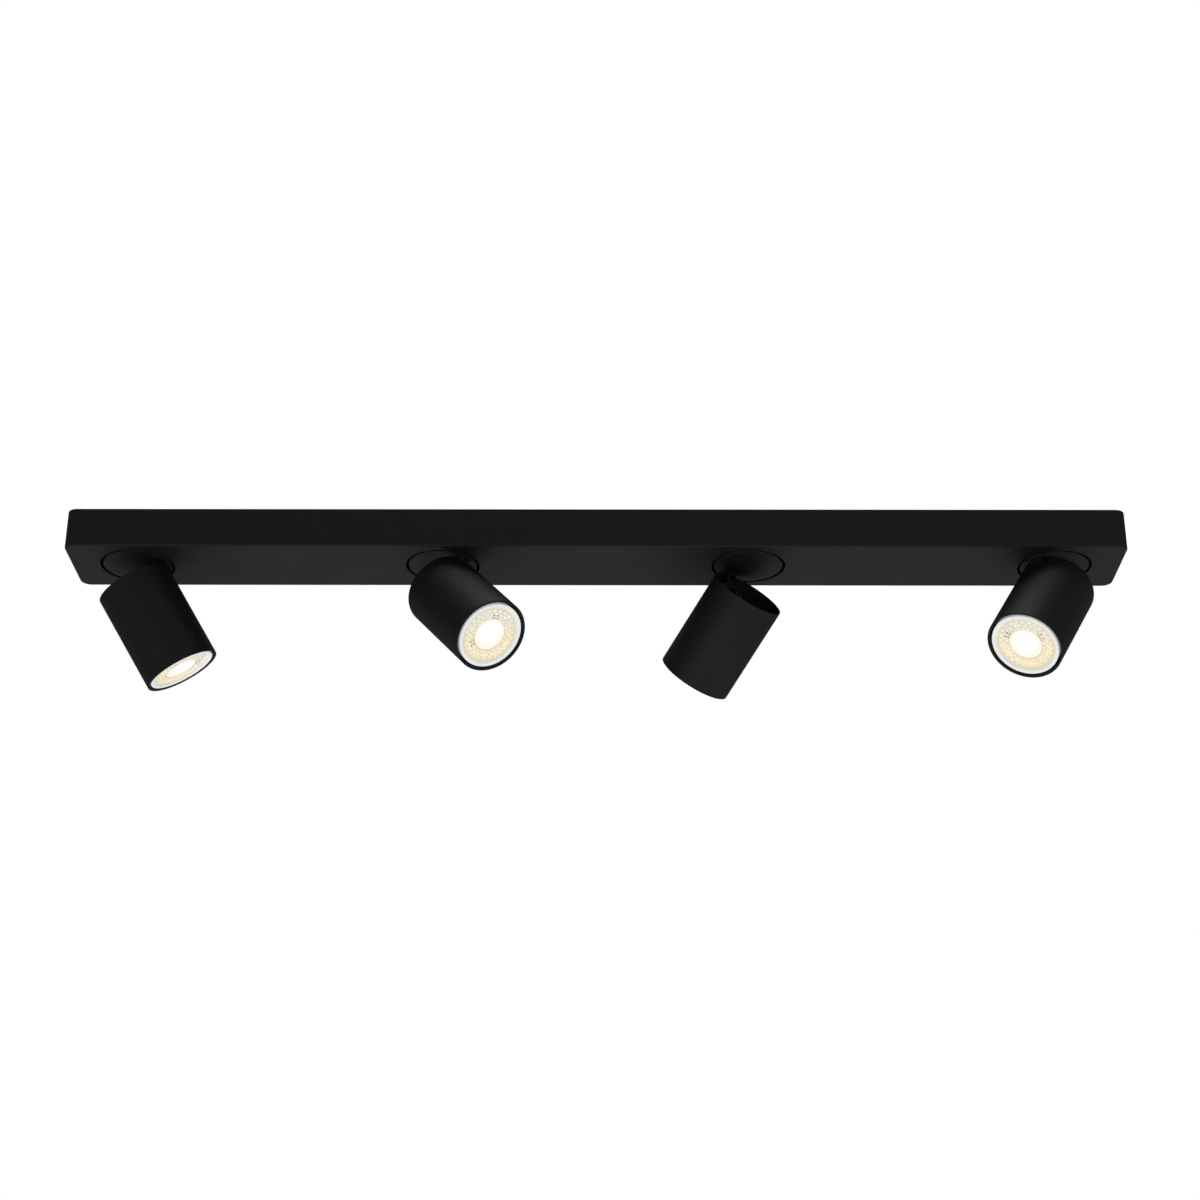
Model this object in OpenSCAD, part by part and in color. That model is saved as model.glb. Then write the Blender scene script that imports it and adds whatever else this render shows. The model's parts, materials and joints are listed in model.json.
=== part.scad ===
// Surface-mounted ceiling spotlight bar with four swivelling, tilting spot heads.
// Millimetres, +Z up. The origin is on the ceiling plane, at the middle of the bar,
// and +X runs along the bar. Everything hangs below z = 0.

/* [Bar] */
// Length of the bar
bar_l = 800; // [780:10:900]
// Width of the bar
bar_w = 70; // [70:1:80]
// Height of the bar below the ceiling
bar_h = 31; // [30:1:36]
// Plan radius of the bar's corners
corner_r = 8; // [6:1:12]
// Outside radius of the folded lower edges
bend_r = 1.6; // [1.4:0.1:2]
// Thickness of the bar's sheet steel
sheet_t = 1.2; // [1:0.1:1.3]

/* [Heads] */
// Distance between neighbouring heads along the bar, times three
head_span = 700; // [660:10:740]
// Swivel of each head about the vertical, from +X, left to right
head_azimuth = [17.5, -44, 131.5, -136.5]; // [-175:0.5:175]
// Tilt of each head from straight down, left to right
head_tilt = [32.5, 45.5, 50, 37.5]; // [0:0.5:90]
// Outside diameter of a spot tube
tube_d = 57.5; // [57:0.5:58.5]
// Length of a spot tube
tube_l = 79; // [78:1:90]
// Wall thickness of a spot tube
tube_t = 1.5; // [1.2:0.1:1.6]

/* [Swivel disc] */
// Diameter of the round hole in the bar
hole_d = 56; // [55:0.5:57]
// Diameter of the disc that turns in the hole
disc_d = 52; // [51:0.5:53]
// Distance from the disc's centre to the tab that carries the tube
tab_offset = 21; // [20:0.1:21]
// Width of the tab along the tilt axis
tab_w = 11; // [10:0.5:11]
// Thickness of the tab
tab_t = 8; // [7:0.5:8]

/* [Tilt pivot] */
// Depth of the tilt axis below the disc
pivot_drop = 10.3; // [10.3:0.1:11.5]
// Distance from the tube's centreline to the tilt axis
pivot_side = 21.9; // [21.9:0.1:22.2]
// Depth of the tilt axis below the tube's top rim
pivot_depth = 7.8; // [7.2:0.1:7.8]

/* [Lamp] */
// Diameter of the reflector lamp
lamp_d = 51; // [50:0.5:51]
// Depth of the lamp's front rim inside the tube's mouth
lamp_recess = 0.5; // [0.5:0.5:3]
// Distance between the lamp's two pins
pin_pitch = 10; // [10]

/* [Ceiling bracket] */
// Distance between the two ceiling screws
ceiling_pitch = 500; // [400:10:560]
// Width of a ceiling slot
slot_w = 5.5; // [4.5:0.5:6]
// Length of a ceiling slot, end to end
slot_l = 14; // [10:1:20]
// Width of the bracket
bracket_w = 40; // [36:1:44]
// Thickness of the bracket's steel
bracket_t = 1.5; // [1.5:0.1:2]

/* [Hidden] */
HEADS = [1, 2, 3, 4];
BASE_NODES = ["housing", "ceiling_bracket", "end_angles", "bridge_plates", "friction_washers",
    "cable_grommet", "terminal_block", "terminal_screws", "earth_screw", "earth_washer",
    "housing_screws", "wiring_harness"];
SWIVEL_NODES = ["swivel_disc", "hollow_stem", "stop_washer", "locknut"];
TILT_NODES = ["spot_tube", "lamp_carrier", "pivot_rivet", "lampholder", "holder_screws",
    "lamp_body", "lamp_lens", "lamp_leads"];

fine = 96;
round_fn = 64;
small_fn = 32;
cut = 1;                      // how far a cutter runs past the face that it cuts
pitch = head_span / 3;
end_clear = 0.3;              // gap between the bracket's end angles and the bar's end walls

// Levels of the swivel stack, from the bar's lower face upwards
face_z = -bar_h;
floor_z = face_z + sheet_t;   // inside face of the bar's floor
disc_face_t = 1.5;
disc_h = 6;
disc_top_z = face_z + disc_h;
hub_t = 1.4;
washer_gap = 0.05;
washer_t = 0.8;
bridge_z = disc_top_z + washer_gap + washer_t;
bridge_t = 1.5;
stop_t = 1;
stop_z = bridge_z + bridge_t + washer_gap;
nut_h = 3.5;
nut_z = stop_z + stop_t;
stem_top_z = nut_z + nut_h + 1.5;

// Round sizes of the swivel stack
disc_r = disc_d / 2;
disc_wall = 2;
ledge_w = 1.5;
stem_r = 4.95;
stem_bore_r = 3.2;
stem_flat = 4.2;              // half the width across the stem's two flats
bridge_bore_r = 5;
nut_af = 14;
finger_r = 20;                // reach of the stop finger and of the lug that it meets
finger_w = 1.6;
lug_t = 1.2;
lug_l = 2.5;
lug_h = 3.4;

// Bridge plate: a hat section over each hole
bridge_l = 60;
bridge_w = 58;
foot_l = 11;

// Tilt pivot, in the frame of the tilt axis: +Z towards the tube's top, the tube at -X
rim_z = pivot_depth;
mouth_z = rim_z - tube_l;
tube_r = tube_d / 2;
tube_ri = tube_r - tube_t;
boss_r = 4;
rivet_r = 2;
tab_bore_r = 2.05;
ear_gap = 0.15;
ear_t = 2;
ear_r = 3.8;
ear_y = tab_w / 2 + ear_gap;
slot_clear = 0.7;             // gap between the tab and the tube's slot when it lies flat
carrier_depth = 14;
carrier_t = 1.6;
carrier_z = rim_z - carrier_depth - carrier_t;
lead_hole_x = 8;
lead_hole_r = 4;

// Lampholder and lamp, along the tube's centreline
holder_h = 15;
holder_l = 34;
holder_w = 17;
holder_z = carrier_z - holder_h;
holder_screw_y = 12;
screw_sink = 8;
lamp_top_z = holder_z - 0.2;
lamp_front_z = mouth_z + lamp_recess;
lamp_r = lamp_d / 2;
lamp_rim_w = 2.5;
lamp_neck_r = 13.5;
lamp_neck_l = 16;
lamp_collar_l = 7;
lamp_wall = 1.6;
lens_t = 3;
lens_sink = 0.8;

// Ceiling bracket and what is fixed to it
end_screw_z = -12;
angle_x = bar_l / 2 - sheet_t - end_clear;
angle_w = 24;
angle_h = 18.5;
angle_foot = 16;
terminal_x = 42;
earth_x = -30;
grommet_hole_r = 8;

// Wires inside the bar
wire_y = 24;
wire_z = -10;
wire_r = 2.2;
wire_bend = 5;

// ---------- shared shapes ----------

// A rectangle with true round corners, centred on the origin
module rounded_rect(l, w, r) {
    square([l - 2 * r, w], center = true);
    square([l, w - 2 * r], center = true);
    for (sx = [-1, 1], sy = [-1, 1])
        translate([sx * (l / 2 - r), sy * (w / 2 - r)])
            circle(r, $fn = round_fn);
}

// The outer lower quarter of a round edge
module edge_quarter(r) {
    intersection() {
        circle(r, $fn = small_fn);
        translate([0, -r])
            square([r, r]);
    }
}

// A block with round corners in plan and a round lower edge, with its lowest face at z = 0
module soft_block(l, w, h, plan_r, edge_r) {
    translate([0, 0, edge_r])
        linear_extrude(h - edge_r)
            rounded_rect(l, w, plan_r);
    linear_extrude(edge_r)
        rounded_rect(l - 2 * edge_r, w - 2 * edge_r, plan_r - edge_r);
    for (side = [0, 1]) {
        run = side == 0 ? w - 2 * plan_r : l - 2 * plan_r;
        out = side == 0 ? l / 2 - edge_r : w / 2 - edge_r;
        for (turn = [0, 180])
            rotate([0, 0, 90 * side + turn])
                translate([out, 0, edge_r])
                    rotate([90, 0, 0])
                        linear_extrude(run, center = true)
                            edge_quarter(edge_r);
    }
    corner = [[1, 1, 0], [-1, 1, 90], [-1, -1, 180], [1, -1, 270]];
    for (c = corner)
        translate([c[0] * (l / 2 - plan_r), c[1] * (w / 2 - plan_r), edge_r])
            rotate([0, 0, c[2]])
                rotate_extrude(angle = 90, $fn = round_fn)
                    translate([plan_r - edge_r, 0])
                        edge_quarter(edge_r);
}

// A round bar along Y, centred on the origin
module bar_y(r, l, fn = small_fn) {
    rotate([90, 0, 0])
        cylinder(h = l, r = r, center = true, $fn = fn);
}

// A pan-head screw that points up, with its head's seat at z = 0
module pan_screw(r, l, head_r, head_h) {
    cylinder(h = l, r = r, $fn = small_fn);
    difference() {
        translate([0, 0, -head_h])
            cylinder(h = head_h, r1 = head_r * 0.82, r2 = head_r, $fn = small_fn);
        for (a = [0, 90])
            rotate([0, 0, a])
                translate([0, 0, -head_h])
                    cube([head_r * 1.1, head_r * 0.28, head_h * 1.1], center = true);
    }
}

// Puts its children in the frame of head i: the disc's centre, +X towards the tab
module at_disc(i) {
    translate([(i - 1.5) * pitch, 0, 0])
        rotate([0, 0, head_azimuth[i]])
            children();
}

// Puts its children in the frame of the tilt axis of head i
module at_pivot(i) {
    at_disc(i)
        translate([tab_offset, 0, face_z - pivot_drop])
            rotate([0, -head_tilt[i], 0])
                children();
}

// Puts its children on the centreline of the tube of head i
module at_tube(i) {
    at_pivot(i)
        translate([-pivot_side, 0, 0])
            children();
}

// ---------- fixed base ----------

module housing() {
    color([0.09, 0.09, 0.1])
        difference() {
            translate([0, 0, face_z])
                soft_block(bar_l, bar_w, bar_h, corner_r, bend_r);
            translate([0, 0, floor_z])
                soft_block(bar_l - 2 * sheet_t, bar_w - 2 * sheet_t, bar_h, corner_r - sheet_t,
                    bend_r - sheet_t);
            for (i = [0:3])
                translate([(i - 1.5) * pitch, 0, face_z - cut])
                    cylinder(h = sheet_t + 2 * cut, d = hole_d, $fn = fine);
            translate([0, 0, end_screw_z])
                rotate([0, 90, 0])
                    cylinder(h = bar_l + 2 * cut, r = 2.2, center = true, $fn = small_fn);
        }
}

module ceiling_bracket() {
    color([0.72, 0.73, 0.75])
        translate([0, 0, -bracket_t])
            linear_extrude(bracket_t)
                difference() {
                    square([2 * angle_x, bracket_w], center = true);
                    for (sx = [-1, 1])
                        translate([sx * ceiling_pitch / 2, 0])
                            rounded_rect(slot_l, slot_w, slot_w / 2 - 0.001);
                    circle(grommet_hole_r, $fn = round_fn);
                    translate([terminal_x, 0])
                        circle(1.5, $fn = small_fn);
                    translate([earth_x, 0])
                        circle(2, $fn = small_fn);
                }
}

// The two angles that are welded under the bracket's ends and take the bar's fixing screws
module end_angles() {
    color([0.72, 0.73, 0.75])
        for (turn = [0, 180])
            rotate([0, 0, turn])
                translate([angle_x, 0, -bracket_t])
                    end_angle();
}

module end_angle() {
    foot_t = 1.5;
    difference() {
        union() {
            translate([-angle_foot, -angle_w / 2, -foot_t])
                cube([angle_foot, angle_w, foot_t]);
            translate([-foot_t, -angle_w / 2, -angle_h])
                cube([foot_t, angle_w, angle_h]);
        }
        translate([0, 0, end_screw_z + bracket_t])
            rotate([0, 90, 0])
                cylinder(h = 4 * foot_t, r = 2, center = true, $fn = small_fn);
    }
}

module bridge_plates() {
    color([0.13, 0.13, 0.14])
        for (i = [0:3])
            translate([(i - 1.5) * pitch, 0, 0])
                bridge_plate();
}

// One hat-shaped plate, with the lug that limits the swivel on its +X side
module bridge_plate() {
    leg_x = bridge_l / 2 - bridge_t / 2;
    leg_h = bridge_z + bridge_t - floor_z;
    difference() {
        translate([0, 0, bridge_z + bridge_t / 2])
            cube([bridge_l, bridge_w, bridge_t], center = true);
        translate([0, 0, bridge_z - cut])
            cylinder(h = bridge_t + 2 * cut, r = bridge_bore_r, $fn = round_fn);
    }
    for (sx = [-1, 1]) {
        translate([sx * leg_x, 0, floor_z + leg_h / 2])
            cube([bridge_t, bridge_w, leg_h], center = true);
        translate([sx * (bridge_l / 2 + foot_l / 2), 0, floor_z + bridge_t / 2])
            cube([foot_l, bridge_w, bridge_t], center = true);
    }
    translate([finger_r - lug_l, -lug_t / 2, bridge_z + bridge_t])
        cube([lug_l, lug_t, lug_h]);
}

module friction_washers() {
    color([0.92, 0.92, 0.88])
        for (i = [0:3])
            translate([(i - 1.5) * pitch, 0, bridge_z - washer_t])
                difference() {
                    cylinder(h = washer_t, r = 13, $fn = round_fn);
                    translate([0, 0, -cut])
                        cylinder(h = washer_t + 2 * cut, r = stem_r + 0.3, $fn = round_fn);
                }
}

module cable_grommet() {
    color([0.05, 0.05, 0.05])
        difference() {
            union() {
                translate([0, 0, -bracket_t])
                    cylinder(h = bracket_t, r = grommet_hole_r, $fn = round_fn);
                translate([0, 0, -bracket_t - 2])
                    cylinder(h = 2, r = grommet_hole_r + 2.5, $fn = round_fn);
                translate([0, 0, -bracket_t - 4.5])
                    cylinder(h = 2.5, r1 = grommet_hole_r - 1.5, r2 = grommet_hole_r, $fn = round_fn);
            }
            translate([0, 0, -bracket_t - 4.5 - cut])
                cylinder(h = 20, r = 4.75, $fn = round_fn);
        }
}

block_l = 30;
block_w = 18;
block_h = 13;
pole_pitch = 9.6;
block_screw_y = 5;

module terminal_block() {
    top = -bracket_t;
    color([0.93, 0.92, 0.88])
        difference() {
            translate([terminal_x, 0, top - block_h])
                linear_extrude(block_h)
                    rounded_rect(block_l, block_w, 1.5);
            for (p = [-1:1]) {
                translate([terminal_x + p * pole_pitch, 0, top - 5])
                    bar_y(1.7, block_w + 2 * cut);
                for (sy = [-1, 1])
                    translate([terminal_x + p * pole_pitch, sy * block_screw_y, top - block_h - cut])
                        cylinder(h = 5 + cut, r = 2, $fn = small_fn);
            }
            translate([terminal_x + pole_pitch / 2, 0, top - block_h - cut])
                cylinder(h = 1, r = 1, $fn = small_fn);
        }
}

module terminal_screws() {
    color([0.75, 0.72, 0.6])
        for (p = [-1:1], sy = [-1, 1])
            translate([terminal_x + p * pole_pitch, sy * block_screw_y, -bracket_t - block_h + 2.2])
                difference() {
                    cylinder(h = 2.6, r = 1.9, $fn = small_fn);
                    cube([4, 0.6, 1.2], center = true);
                }
}

module earth_screw() {
    color([0.78, 0.66, 0.35])
        translate([earth_x, 0, -bracket_t - 1])
            pan_screw(1.95, bracket_t + 1, 3.8, 2.4);
}

module earth_washer() {
    color([0.78, 0.66, 0.35])
        translate([earth_x, 0, -bracket_t - 1])
            difference() {
                cylinder(h = 1, r = 4.6, $fn = small_fn);
                translate([0, 0, -cut])
                    cylinder(h = 1 + 2 * cut, r = 2.1, $fn = small_fn);
            }
}

module housing_screws() {
    color([0.1, 0.1, 0.1])
        for (a = [0, 180])
            rotate([0, 0, a])
                translate([bar_l / 2, 0, end_screw_z])
                    rotate([0, -90, 0])
                        pan_screw(1.95, 7, 3.8, 2.2);
}

// One branch of the harness: across from the main run, then down into the stem
module wire_drop() {
    drop_l = -wire_bend + wire_z - stem_top_z + 5;
    translate([0, (wire_y + wire_bend) / 2, wire_z])
        bar_y(wire_r, wire_y - wire_bend);
    translate([0, wire_bend, wire_z - wire_bend])
        rotate([90, 0, -90])
            rotate_extrude(angle = 90, $fn = small_fn)
                translate([wire_bend, 0])
                    circle(wire_r, $fn = small_fn);
    translate([0, 0, wire_z - wire_bend - drop_l])
        cylinder(h = drop_l, r = wire_r, $fn = small_fn);
}

module wiring_harness() {
    color([0.16, 0.16, 0.17]) {
        translate([0, wire_y, wire_z])
            rotate([0, 90, 0])
                cylinder(h = head_span + 12, r = wire_r + 1, center = true, $fn = small_fn);
        for (i = [0:3])
            translate([(i - 1.5) * pitch, 0, 0])
                wire_drop();
        translate([terminal_x, (wire_y + block_w / 2) / 2, wire_z])
            bar_y(wire_r, wire_y - block_w / 2);
    }
}

// ---------- swivel, one set for each head ----------

module swivel_disc(i) {
    channel_x = tab_offset - 1;
    channel_w = 6.4;
    channel_t = 3.6;
    exit_z = face_z - 5.6;
    color([0.09, 0.09, 0.1])
        at_disc(i)
            difference() {
                union() {
                    rotate_extrude($fn = fine)
                        disc_profile();
                    translate([tab_offset, 0, face_z - pivot_drop])
                        linear_extrude(pivot_drop + disc_face_t)
                            rounded_rect(tab_t, tab_w, boss_r - 0.2);
                    translate([tab_offset, 0, face_z - pivot_drop])
                        bar_y(boss_r, tab_w, round_fn);
                }
                translate([tab_offset, 0, face_z - pivot_drop])
                    bar_y(tab_bore_r, tab_w + 2 * cut);
                translate([channel_x - channel_t / 2, -channel_w / 2, exit_z])
                    cube([channel_t, channel_w, bar_h]);
                translate([channel_x - tab_t, -channel_w / 2, exit_z])
                    cube([tab_t, channel_w, channel_t]);
            }
}

// Half section of the shallow cup: a flat face, a rim, and a ledge for the hub plate
module disc_profile() {
    chamfer = 0.4;
    ledge_z = disc_top_z - hub_t;
    polygon([
        [0, face_z],
        [disc_r - chamfer, face_z],
        [disc_r, face_z + chamfer],
        [disc_r, disc_top_z],
        [disc_r - disc_wall, disc_top_z],
        [disc_r - disc_wall, ledge_z],
        [disc_r - disc_wall - ledge_w, ledge_z],
        [disc_r - disc_wall - ledge_w, face_z + disc_face_t],
        [0, face_z + disc_face_t]]);
}

module flatted_round(r, flat) {
    intersection() {
        circle(r, $fn = round_fn);
        square([2 * flat, 3 * r], center = true);
    }
}

module hollow_stem(i) {
    color([0.7, 0.71, 0.73])
        at_disc(i)
            difference() {
                union() {
                    translate([0, 0, disc_top_z - hub_t])
                        cylinder(h = hub_t, r = disc_r - disc_wall - 0.05, $fn = fine);
                    translate([0, 0, disc_top_z])
                        cylinder(h = stop_z - disc_top_z, r = stem_r, $fn = round_fn);
                    translate([0, 0, stop_z])
                        linear_extrude(stem_top_z - stop_z)
                            flatted_round(stem_r, stem_flat);
                }
                translate([0, 0, disc_top_z - hub_t - cut])
                    cylinder(h = bar_h, r = stem_bore_r, $fn = round_fn);
            }
}

module stop_washer(i) {
    color([0.6, 0.61, 0.63])
        at_disc(i)
            translate([0, 0, stop_z])
                linear_extrude(stop_t)
                    difference() {
                        union() {
                            circle(10, $fn = round_fn);
                            translate([-finger_r, -finger_w / 2])
                                square([finger_r - 6, finger_w]);
                        }
                        flatted_round(stem_r + 0.05, stem_flat + 0.05);
                    }
}

module locknut(i) {
    color([0.78, 0.7, 0.45])
        at_disc(i)
            translate([0, 0, nut_z])
                difference() {
                    cylinder(h = nut_h, r = nut_af / 2 / cos(30), $fn = 6);
                    translate([0, 0, -cut])
                        cylinder(h = nut_h + 2 * cut, r = stem_r + 0.03, $fn = round_fn);
                }
}

// ---------- tilting head, one set for each head ----------

module spot_tube(i) {
    slot_w_tube = tab_w + 2;
    slot_end = -(tab_t / 2 + slot_clear);
    slot_top = rim_z + 10;
    color([0.09, 0.09, 0.1])
        at_tube(i)
            difference() {
                rotate_extrude($fn = fine)
                    tube_profile();
                translate([tube_r / 2, 0, (slot_top + slot_end) / 2])
                    rotate([0, 90, 0])
                        linear_extrude(tube_r)
                            rounded_rect(slot_top - slot_end, slot_w_tube, 4.5);
            }
}

// Half section of the tube wall, with a small bevel on each end
module tube_profile() {
    bevel = 0.5;
    polygon([
        [tube_ri, mouth_z + bevel],
        [tube_ri + bevel, mouth_z],
        [tube_r - bevel, mouth_z],
        [tube_r, mouth_z + bevel],
        [tube_r, rim_z - bevel],
        [tube_r - bevel, rim_z],
        [tube_ri + bevel, rim_z],
        [tube_ri, rim_z - bevel]]);
}

module lamp_carrier(i) {
    color([0.13, 0.13, 0.14]) {
        at_tube(i)
            translate([0, 0, carrier_z])
                difference() {
                    cylinder(h = carrier_t, r = tube_ri - 0.05, $fn = fine);
                    translate([lead_hole_x, 0, -cut])
                        cylinder(h = carrier_t + 2 * cut, r = lead_hole_r, $fn = small_fn);
                    for (sy = [-1, 1])
                        translate([0, sy * holder_screw_y, -cut])
                            cylinder(h = carrier_t + 2 * cut, r = 1.5, $fn = small_fn);
                }
        at_pivot(i)
            for (sy = [-1, 1])
                translate([0, sy * (ear_y + ear_t / 2), 0])
                    carrier_ear();
    }
}

// An upright ear with the rivet's hole, which stands on the carrier plate
module carrier_ear() {
    ear_foot = carrier_z + carrier_t;
    difference() {
        union() {
            bar_y(ear_r, ear_t);
            translate([0, 0, ear_foot / 2])
                cube([2 * ear_r, ear_t, -ear_foot], center = true);
        }
        bar_y(rivet_r + 0.02, ear_t + 2 * cut);
    }
}

module pivot_rivet(i) {
    head_r = 3.2;
    head_t = 1.3;
    grip = 2 * (ear_y + ear_t);
    color([0.15, 0.15, 0.16])
        at_pivot(i) {
            bar_y(rivet_r, grip);
            for (turn = [0, 180])
                rotate([0, 0, turn])
                    translate([0, -grip / 2, 0])
                        rotate([90, 0, 0])
                            cylinder(h = head_t, r1 = head_r, r2 = head_r * 0.7, $fn = small_fn);
        }
}

module lampholder(i) {
    color([0.9, 0.89, 0.85])
        at_tube(i)
            translate([0, 0, holder_z])
                difference() {
                    linear_extrude(holder_h)
                        rounded_rect(holder_w, holder_l, 8);
                    for (sy = [-1, 1]) {
                        translate([0, sy * pin_pitch / 2, -cut])
                            cylinder(h = 9 + cut, r = 2.9, $fn = small_fn);
                        translate([0, sy * holder_screw_y, -cut])
                            cylinder(h = screw_sink + cut, r = 3.2, $fn = small_fn);
                        translate([0, sy * holder_screw_y, 0])
                            cylinder(h = holder_h + cut, r = 1.6, $fn = small_fn);
                    }
                }
}

module holder_screws(i) {
    shank = holder_h - screw_sink + carrier_t + 1.5;
    color([0.75, 0.75, 0.77])
        at_tube(i)
            for (sy = [-1, 1])
                translate([0, sy * holder_screw_y, holder_z + screw_sink])
                    pan_screw(1.48, shank, 2.8, 2);
}

module lamp_body(i) {
    pin_l = 7;
    color([0.93, 0.93, 0.92])
        at_tube(i) {
            rotate_extrude($fn = fine)
                lamp_profile();
            for (sy = [-1, 1])
                translate([0, sy * pin_pitch / 2, lamp_top_z]) {
                    cylinder(h = pin_l - 2, r = 1.4, $fn = small_fn);
                    translate([0, 0, pin_l - 2])
                        cylinder(h = 2, r = 2.4, $fn = small_fn);
                }
        }
}

// Half section of the lamp's shell: a closed cap, a neck, a cone and a straight collar
module lamp_profile() {
    neck_z = lamp_top_z - lamp_neck_l;
    collar_z = lamp_front_z + lamp_collar_l;
    seat_z = lamp_front_z + lens_sink + lens_t;
    lens_r = lamp_r - lamp_rim_w;
    polygon([
        [0, lamp_top_z],
        [lamp_neck_r - 1, lamp_top_z],
        [lamp_neck_r, lamp_top_z - 1],
        [lamp_neck_r, neck_z],
        [lamp_r, collar_z],
        [lamp_r, lamp_front_z + 0.6],
        [lamp_r - 0.6, lamp_front_z],
        [lens_r + 0.4, lamp_front_z],
        [lens_r, lamp_front_z + 0.4],
        [lens_r, seat_z],
        [lens_r - 1.5, seat_z],
        [lens_r - 1.5, collar_z],
        [lamp_neck_r - lamp_wall, neck_z],
        [lamp_neck_r - lamp_wall, lamp_top_z - lamp_wall],
        [0, lamp_top_z - lamp_wall]]);
}

module lamp_lens(i) {
    lens_r = lamp_r - lamp_rim_w - 0.05;
    front = lamp_front_z + lens_sink;
    color([0.98, 0.94, 0.82, 0.9])
        at_tube(i)
            rotate_extrude($fn = fine)
                polygon([
                    [0, front - 0.3],
                    [lens_r * 0.4, front],
                    [lens_r, front],
                    [lens_r, front + lens_t],
                    [0, front + lens_t]]);
}

// Two insulated leads that rise from the lampholder and bend towards the tab
module lamp_leads(i) {
    lead_r = 1.1;
    bend = 5;
    rise = 5;
    reach = 3;
    start_x = 6.5;
    color([0.85, 0.85, 0.83])
        at_tube(i)
            for (sy = [-1, 1])
                translate([start_x, sy * 1.7, carrier_z]) {
                    cylinder(h = rise, r = lead_r, $fn = small_fn);
                    translate([bend, 0, rise])
                        rotate([90, -180, 0])
                            rotate_extrude(angle = -90, $fn = small_fn)
                                translate([bend, 0])
                                    circle(lead_r, $fn = small_fn);
                    translate([bend, 0, rise + bend])
                        rotate([0, 90, 0])
                            cylinder(h = reach, r = lead_r, $fn = small_fn);
                }
}

// ---------- drawing, one node or all ----------

housing();
ceiling_bracket();
end_angles();
bridge_plates();
friction_washers();
cable_grommet();
terminal_block();
terminal_screws();
earth_screw();
earth_washer();
housing_screws();
wiring_harness();
for (n = HEADS) {
    i = n - 1;
    swivel_disc(i);
    hollow_stem(i);
    stop_washer(i);
    locknut(i);
    spot_tube(i);
    lamp_carrier(i);
    pivot_rivet(i);
    lampholder(i);
    holder_screws(i);
    lamp_body(i);
    lamp_lens(i);
    lamp_leads(i);
}
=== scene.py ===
"""The looks of a ceiling spotlight bar: its pieces, their finishes, the lights and the camera."""

import json
import math

import bmesh
import bpy
from mathutils import Matrix, Vector
from mathutils.geometry import tessellate_polygon


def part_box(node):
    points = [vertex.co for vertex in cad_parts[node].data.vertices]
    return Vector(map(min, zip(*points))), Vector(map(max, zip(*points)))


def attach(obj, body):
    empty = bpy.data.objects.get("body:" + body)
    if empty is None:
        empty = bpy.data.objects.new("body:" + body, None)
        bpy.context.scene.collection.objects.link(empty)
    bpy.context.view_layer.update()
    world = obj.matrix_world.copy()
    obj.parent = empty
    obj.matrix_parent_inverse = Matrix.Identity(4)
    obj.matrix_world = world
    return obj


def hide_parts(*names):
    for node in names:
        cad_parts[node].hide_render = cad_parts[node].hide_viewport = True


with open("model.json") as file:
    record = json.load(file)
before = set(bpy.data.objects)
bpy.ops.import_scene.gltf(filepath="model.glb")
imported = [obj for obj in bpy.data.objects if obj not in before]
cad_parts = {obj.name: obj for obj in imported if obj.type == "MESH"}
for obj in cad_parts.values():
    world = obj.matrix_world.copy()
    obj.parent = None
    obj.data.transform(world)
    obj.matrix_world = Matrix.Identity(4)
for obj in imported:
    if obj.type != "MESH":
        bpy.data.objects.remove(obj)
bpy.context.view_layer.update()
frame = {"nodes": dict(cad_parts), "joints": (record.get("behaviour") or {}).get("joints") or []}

MM = 0.001
TAU = 2 * math.pi

# ---------------------------------------------------------------- camera, world, lights, floor

CAMERA_AT = Vector((0.0137, -1.5453, -0.7795))
CAMERA_YAW = 0.0066
CAMERA_PITCH = 0.4361
CAMERA_ROLL = 0.0040
CAMERA_LENS = 67.45
SENSOR = 36.0
FLOOR_Z = -2.4
FLOOR_HALF = 4.0


def make_camera():
    """The camera in front of the bar and below it, which looks up at its lower face."""
    data = bpy.data.cameras.new("camera")
    data.lens = CAMERA_LENS
    data.sensor_width = SENSOR
    data.clip_end = 50
    camera = bpy.data.objects.new("camera", data)
    bpy.context.scene.collection.objects.link(camera)
    turn = Matrix.Rotation(CAMERA_YAW, 4, "Z") @ Matrix.Rotation(math.pi / 2 + CAMERA_PITCH, 4, "X")
    camera.matrix_world = Matrix.Translation(CAMERA_AT) @ turn @ Matrix.Rotation(CAMERA_ROLL, 4, "Z")
    bpy.context.scene.camera = camera


def make_world():
    """White where the camera looks past the bar, and dim in what the bar reflects."""
    world = bpy.data.worlds.new("studio")
    bpy.context.scene.world = world
    world.use_nodes = True
    nodes, links = world.node_tree.nodes, world.node_tree.links
    nodes.clear()
    path = nodes.new("ShaderNodeLightPath")
    seen = nodes.new("ShaderNodeBackground")
    seen.inputs["Color"].default_value = (1, 1, 1, 1)
    around = nodes.new("ShaderNodeBackground")
    around.inputs["Color"].default_value = (0.95, 0.97, 1.0, 1)
    around.inputs["Strength"].default_value = 0.14
    mix = nodes.new("ShaderNodeMixShader")
    out = nodes.new("ShaderNodeOutputWorld")
    links.new(path.outputs["Is Camera Ray"], mix.inputs["Fac"])
    links.new(around.outputs[0], mix.inputs[1])
    links.new(seen.outputs[0], mix.inputs[2])
    links.new(mix.outputs[0], out.inputs["Surface"])


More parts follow.
